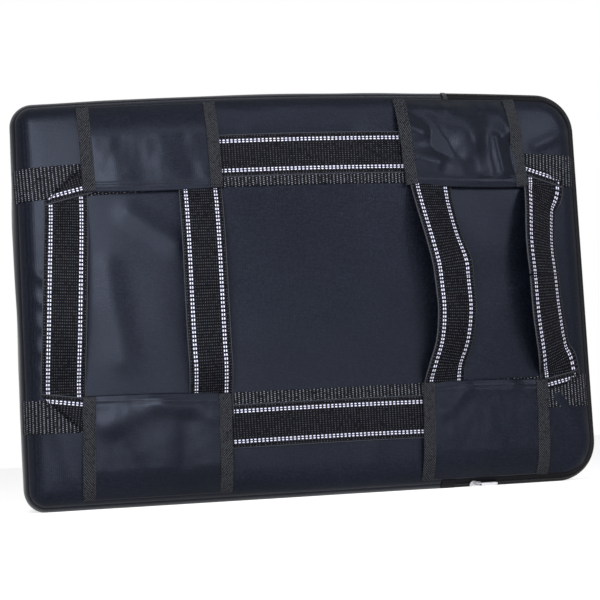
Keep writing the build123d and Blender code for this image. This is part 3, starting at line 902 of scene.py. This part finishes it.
# ---------------------------------------------------------------- tunnels
tunnels = {
    # seam and hem are the X of their left and right ends, and drop is how far each end of the hem lies
    # below the CAD hem. Each fold is (start, end, width, height).
    "upper_left": dict(seam=(-0.252, -0.099), hem=(-0.248, -0.096), drop=(0.002, 0.0015), folds=(
        ((-0.235, 0.425), (-0.205, 0.365), 0.016, 0.001),
        ((-0.17, 0.44), (-0.16, 0.38), 0.022, 0.0012),
        ((-0.125, 0.42), (-0.11, 0.36), 0.014, 0.0012),
    )),
    "upper_right": dict(seam=(0.107, 0.249), hem=(0.114, 0.256), drop=(0.004, 0.01), folds=(
        ((0.116, 0.44), (0.148, 0.428), 0.01, 0.003),
        ((0.112, 0.412), (0.136, 0.404), 0.009, 0.003),
        ((0.118, 0.376), (0.15, 0.368), 0.01, 0.0032),
        ((0.18, 0.438), (0.192, 0.395), 0.018, 0.0036),
        ((0.192, 0.395), (0.198, 0.358), 0.014, 0.0022),
        ((0.226, 0.432), (0.236, 0.4), 0.01, 0.0026),
        ((0.221, 0.394), (0.227, 0.356), 0.007, 0.0036),
        ((0.241, 0.392), (0.246, 0.358), 0.006, -0.003),
        ((0.142, 0.414), (0.158, 0.392), 0.012, -0.0024),
        ((0.156, 0.386), (0.172, 0.376), 0.01, -0.002),
        ((0.16, 0.44), (0.166, 0.428), 0.006, 0.002),
        ((0.206, 0.44), (0.208, 0.426), 0.006, 0.0018),
    )),
    "lower_left": dict(seam=(-0.262, -0.101), hem=(-0.258, -0.099), drop=(-0.002, 0.002), folds=(
        ((-0.235, 0.088), (-0.175, 0.112), 0.012, 0.0016),
        ((-0.175, 0.112), (-0.11, 0.1), 0.012, 0.0016),
        ((-0.168, 0.1), (-0.176, 0.03), 0.018, 0.0016),
        ((-0.122, 0.088), (-0.128, 0.03), 0.012, 0.0014),
        ((-0.148, 0.09), (-0.152, 0.045), 0.01, -0.0018),
        ((-0.222, 0.07), (-0.212, 0.04), 0.016, -0.0014),
        ((-0.108, 0.03), (-0.112, 0.016), 0.004, 0.0012),
        ((-0.148, 0.022), (-0.14, 0.012), 0.003, 0.001),
    )),
    "lower_right": dict(seam=(0.1145, 0.2605), hem=(0.119, 0.2635), drop=(0.001, 0.004), folds=(
        ((0.142, 0.086), (0.168, 0.11), 0.009, 0.0016),
        ((0.168, 0.112), (0.222, 0.112), 0.009, 0.0016),
        ((0.222, 0.11), (0.25, 0.086), 0.01, 0.002),
        ((0.19, 0.08), (0.2, 0.03), 0.022, 0.001),
        ((0.142, 0.028), (0.175, 0.022), 0.008, 0.0012),
    )),
}


def tunnel_edges(name):
    """Which way is outwards from the hem (1 is up), and the Z of the seam and of the CAD hem."""
    upper = name.startswith("upper")
    up = 1 if upper else -1
    hem_low, hem_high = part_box(f"tunnel_{name}")
    flat = side_height - rear_edge_radius if upper else rear_edge_radius
    seam_z = flat + up * rear_edge_radius * tunnel_seam_angle
    return up, seam_z, hem_low.z if upper else hem_high.z


def tunnel_surface(name, seam, hem, drop, folds):
    """A function that places a point of the cloth, from its shares across and from seam to hem."""
    up, seam_z, hem_z = tunnel_edges(name)
    hem_sag, hem_pinch, stitch_groove = 0.0012, 0.0012, 0.0007

    def place(across, share, extra=0.0):
        x = lerp(lerp(*seam, across), lerp(*hem, across), share)
        z = lerp(seam_z, hem_z - lerp(*drop, across), share)
        z += -up * hem_sag * sin(pi * across) * share
        from_seam = abs(z - seam_z)
        from_hem = (1 - share) * abs(seam_z - hem_z)
        risen = smoothstep(from_seam / tunnel_rise)
        lift = tunnel_seam_lift + (tunnel_lift - tunnel_seam_lift) * risen
        lift -= hem_pinch * (1 - smoothstep(from_hem / 0.006))
        quiet = smoothstep(from_seam / 0.02) * smoothstep(min(across, 1 - across) / 0.06)
        bulge = sum(ridge(x, z, *fold) for fold in folds)
        rough = 0.0009 * noise.noise(Vector((x * 26, z * 20, 1.0 + len(folds))))
        rough += 0.0003 * noise.noise(Vector((x * 90, z * 60, 5.0)))
        stitched = stitch_groove * np.exp(-(((from_hem - hem_stitch_inset) / 0.0012) ** 2))
        over_straps = 0.0006 + (tunnel_floor - 0.0006) * risen
        lift = max(lift + (bulge + rough) * float(quiet) - float(stitched), over_straps)
        return on_rear(x, z, float(lift + extra))

    return place


def tunnel_cloth(name, place):
    """The cloth, with its hem rolled under and turned back towards the seam."""
    up = tunnel_edges(name)[0]
    rows, columns = 74, 88
    across = [column / (columns - 1) for column in range(columns)]
    points = [place(a, share) for share in np.linspace(0, 1, rows) for a in across]
    for turn in (0.35 * pi, 0.7 * pi, pi):
        rolled = np.array((0, hem_roll * (1 - cos(turn)), -up * hem_roll * sin(turn)))
        points += [place(a, 1.0) + rolled for a in across]
    turned_back = np.array((0, 2 * hem_roll, up * 0.009))
    points += [place(a, 1.0) + turned_back for a in across]
    faces = grid_faces(rows + 4, columns)
    node = f"tunnel_{name}"
    cloth = add_piece(node + "_cloth", points, faces, tunnel_look, slot="satin_nylon", inside=pad_centre)
    solidify(cloth, tunnel_cloth_thickness)
    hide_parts(node)
    return cloth


def tunnel_binding(name, side, place):
    """The tape that is folded over an open end."""
    end, inward = (0.0, 1) if side == "left" else (1.0, -1)
    node = f"binding_{name}_{side}"
    centres, hints = [], []
    for share in np.linspace(0.0, 1.0, 64):
        edge = place(end, share)
        wide = place(end + inward * 0.04, share) - edge
        wide /= np.linalg.norm(wide)
        ripple = 0.0004 * noise.noise(Vector((edge[2] * 40, end, 2.0)))
        from_end = binding_width / 2 - binding_overhang
        centres.append(edge + wide * from_end + np.array((0, -ripple, 0)))
        hints.append(wide)
    return root_strap(node + "_tape", node, centres, hints, binding)


def tunnel(name, seam, hem, drop, folds):
    """A cloth tunnel over the straps, with a turned hem and a binding on each open end."""
    place = tunnel_surface(name, seam, hem, drop, folds)
    cloth = tunnel_cloth(name, place)
    bindings = [tunnel_binding(name, side, place) for side in ("left", "right")]
    _, seam_z, hem_z = tunnel_edges(name)
    return place


tunnel_places = {name: tunnel(name, **values) for name, values in tunnels.items()}


# ---------------------------------------------------------------- zip coil
def zip_path(count):
    """Points along the closed coil round the right-hand end, with the outward direction at each."""
    top_x, bottom_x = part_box("zip_top_stop")[1].x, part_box("zip_garage")[1].x
    kept = [row for row in outline(0.002) if row[0] > (top_x if row[1] > middle_z else bottom_x)]
    kept.sort(key=lambda row: np.arctan2(row[1] - middle_z, row[0] - bottom_x))
    kept = np.array(kept)
    steps = np.concatenate([[0.0], np.cumsum(np.linalg.norm(np.diff(kept[:, :2], axis=0), axis=1))])
    where = np.linspace(0, steps[-1], count)
    return np.stack([np.interp(where, steps, kept[:, k]) for k in range(4)], axis=1), steps[-1]


def zip_coil():
    """Two rows of interlocking nylon loops."""
    low_corner, high_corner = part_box("zip_coil")
    coil_height = -(low_corner.y + high_corner.y) / 2
    angle = np.arccos((coil_height - rear + rear_edge_radius) / (rear_edge_radius + coil_seat))
    length = zip_path(10)[1]
    path, _ = zip_path(int(length / coil_pitch))
    inset = rear_edge_radius * (1 - sin(angle))
    height = rear - rear_edge_radius * (1 - cos(angle))
    points, faces = [], []
    ring = 6
    for number, (x, z, out_x, out_z) in enumerate(path):
        side = 1 if number % 2 else -1
        out = np.array((out_x * sin(angle), -cos(angle), out_z * sin(angle)))
        over = np.array((out_x * cos(angle), sin(angle), out_z * cos(angle)))
        seat = np.array((x - out_x * inset, -height, z + crown_at(x, z) - out_z * inset))
        along = np.cross(out, over)
        base = len(points)
        for share in (-1.0, -0.6, 0.0, 0.6, 1.0):
            fat = coil_wire * sqrt(max(0.0, 1.02 - share * share)) + 0.0001
            spine = seat + over * (share * coil_reach + side * coil_row_shift) + out * coil_seat
            for k in range(ring):
                turn = 2 * pi * k / ring
                points.append(spine + out * fat * sin(turn) + along * fat * cos(turn))
        faces += tube_faces(5, ring, base)
    piece = add_piece("zip_coil_teeth", points, faces, coil_look, slot="zip_coil")
    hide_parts("zip_coil")


zip_coil()


# ---------------------------------------------------------------- stitching
def stitches(name, lines):
    """Small thread bars along lines of points on the rear, as one piece."""
    normal = np.array((0.0, -1.0, 0.0))
    around = 6
    vertices, faces = [], []
    for line in lines:
        for start, end in zip(line[:-1], line[1:]):
            size = np.linalg.norm(end - start)
            if size < 1e-6:
                continue
            along = (end - start) / size
            side = np.cross(normal, along)
            faces += tube_faces(4, around, len(vertices))
            for share, fat in ((0.12, 0.45), (0.3, 1.0), (0.7, 1.0), (0.88, 0.45)):
                spine = start + along * (size * share)
                for k in range(around):
                    turn = 2 * pi * k / around
                    out = side * cos(turn) + normal * sin(turn)
                    vertices.append(spine + out * thread_width * fat / 2)
    add_piece(name, vertices, faces, thread_look, slot="binding_tape")


def tunnel_stitches(name, place, hem):
    """The hem's seam and the seam that holds each binding."""
    width = hem[1] - hem[0]
    low_corner, high_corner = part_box(f"tunnel_{name}")
    depth = abs(high_corner.z - low_corner.z)
    hem_share = 1 - hem_stitch_inset / depth
    hem_count, end_count = int(width / stitch_pitch), int(depth / stitch_pitch)
    lines = [[place(a, hem_share, 0.0003) for a in np.linspace(0.1, 0.9, hem_count)]]
    inset = (binding_width - 0.002) / width
    for across in (inset, 1 - inset):
        lines.append([place(across, share, 0.0016) for share in np.linspace(0.05, 0.99, end_count)])
    stitches(f"tunnel_{name}_stitches", lines)


for name, place in tunnel_places.items():
    tunnel_stitches(name, place, tunnels[name]["hem"])


def base_strap_stitches(level, z, end, side):
    """Two rows of stitches over one end of a base strap."""
    edge_x = side * (half_width - rear_edge_radius + 0.004)
    rows = []
    for inset in (0.0, 0.003):
        x = edge_x - side * inset
        rows.append([on_rear(x, z + t, first_layer + 0.0002) for t in np.linspace(-0.016, 0.016, 11)])
    stitches(f"base_strap_{level}_{end}_stitches", rows)


for level, z in (("upper", 0.356), ("lower", 0.1025)):
    base_strap_stitches(level, z, "left", -1)
    base_strap_stitches(level, z, "right", 1)


# ---------------------------------------------------------------- stage, lights and camera
def seen_rays(tree):
    """1 for camera, glossy and transmission rays, else 0."""
    path = tree.nodes.new("ShaderNodeLightPath")
    found = path.outputs["Is Camera Ray"]
    for ray in ("Is Glossy Ray", "Is Transmission Ray"):
        either = tree.nodes.new("ShaderNodeMath")
        either.operation = "MAXIMUM"
        tree.links.new(found, either.inputs[0])
        tree.links.new(path.outputs[ray], either.inputs[1])
        found = either.outputs[0]
    return found


def scaled_rays(tree, unseen, seen):
    """One strength for the rays that seen_rays names, and another for the rest."""
    strength = tree.nodes.new("ShaderNodeMapRange")
    tree.links.new(seen_rays(tree), strength.inputs["Value"])
    strength.inputs["To Min"].default_value = unseen
    strength.inputs["To Max"].default_value = seen
    return strength.outputs["Result"]


def floor_material():
    """Pale, and white to the camera where nothing shades it: a little white is added for those rays."""
    look = bpy.data.materials.new("floor")
    look.use_nodes = True
    shader = look.node_tree.nodes["Principled BSDF"]
    shader.inputs["Base Color"].default_value = (0.93, 0.93, 0.93, 1.0)
    shader.inputs["Roughness"].default_value = 0.9
    shader.inputs["Specular IOR Level"].default_value = 0.0
    shader.inputs["Emission Color"].default_value = (1.0, 1.0, 1.0, 1.0)
    look.node_tree.links.new(scaled_rays(look.node_tree, 0.0, 0.72), shader.inputs["Emission Strength"])
    return look


def floor():
    size = 6.0
    points = [(-size, -size, 0), (size, -size, 0), (size, size, 0), (-size, size, 0)]
    mesh = bpy.data.meshes.new("floor")
    mesh.from_pydata(points, [], [(0, 1, 2, 3)])
    mesh.materials.append(floor_material())
    piece = bpy.data.objects.new("floor", mesh)
    scene.collection.objects.link(piece)


floor()


def world():
    """White to camera, glossy and transmission rays, and a dimmer light on the object."""
    sky = bpy.data.worlds.new("studio")
    sky.use_nodes = True
    scene.world = sky
    tree = sky.node_tree
    background = tree.nodes["Background"]
    background.inputs["Color"].default_value = (1.0, 1.0, 1.0, 1.0)
    tree.links.new(scaled_rays(tree, 0.2, 1.0), background.inputs["Strength"])


world()


def area_light(name, place, target, wide, tall, power):
    lamp = bpy.data.lights.new(name, "AREA")
    lamp.shape = "RECTANGLE"
    lamp.size = wide
    lamp.size_y = tall
    lamp.energy = power
    lamp.color = (0.97, 0.98, 1.0)
    piece = bpy.data.objects.new(name, lamp)
    piece.location = place
    piece.rotation_euler = (Vector(target) - Vector(place)).to_track_quat("-Z", "Y").to_euler()
    scene.collection.objects.link(piece)


area_light("key", (-0.46, -1.24, 0.54), (-0.2, 0, 0.28), 0.34, 0.66, 13.0)
area_light("fill", (0.7, -1.2, 0.7), (0.18, 0, 0.3), 0.28, 0.3, 4.5)
area_light("low", (0.1, -1.3, 0.09), (0, 0, 0.1), 0.9, 0.1, 2.5)
area_light("top", (0.15, -1.00, 1.08), (0, 0, 0.4), 0.9, 0.25, 3.0)


def camera():
    """The photograph's viewing angle: a little from the left and below the middle, and tilted."""
    azimuth, elevation, distance, roll = radians(10.19), radians(-5.0), 1.767, radians(-3.16)
    target = Vector((-0.0138, -rear, 0.2187))
    ahead = Vector((sin(azimuth) * cos(elevation), cos(azimuth) * cos(elevation), -sin(elevation)))
    right = ahead.cross(Vector((0, 0, 1))).normalized()
    above = right.cross(ahead)
    tilted_right = right * cos(roll) + above * sin(roll)
    tilted_up = above * cos(roll) - right * sin(roll)
    lens = bpy.data.cameras.new("camera")
    lens.lens = 95.0
    lens.sensor_width = 36.0
    piece = bpy.data.objects.new("camera", lens)
    turn = Matrix((tilted_right, tilted_up, -ahead)).transposed().to_4x4()
    piece.matrix_world = Matrix.Translation(target - ahead * distance) @ turn
    scene.collection.objects.link(piece)
    scene.camera = piece


camera()
scene.view_settings.view_transform = "Standard"
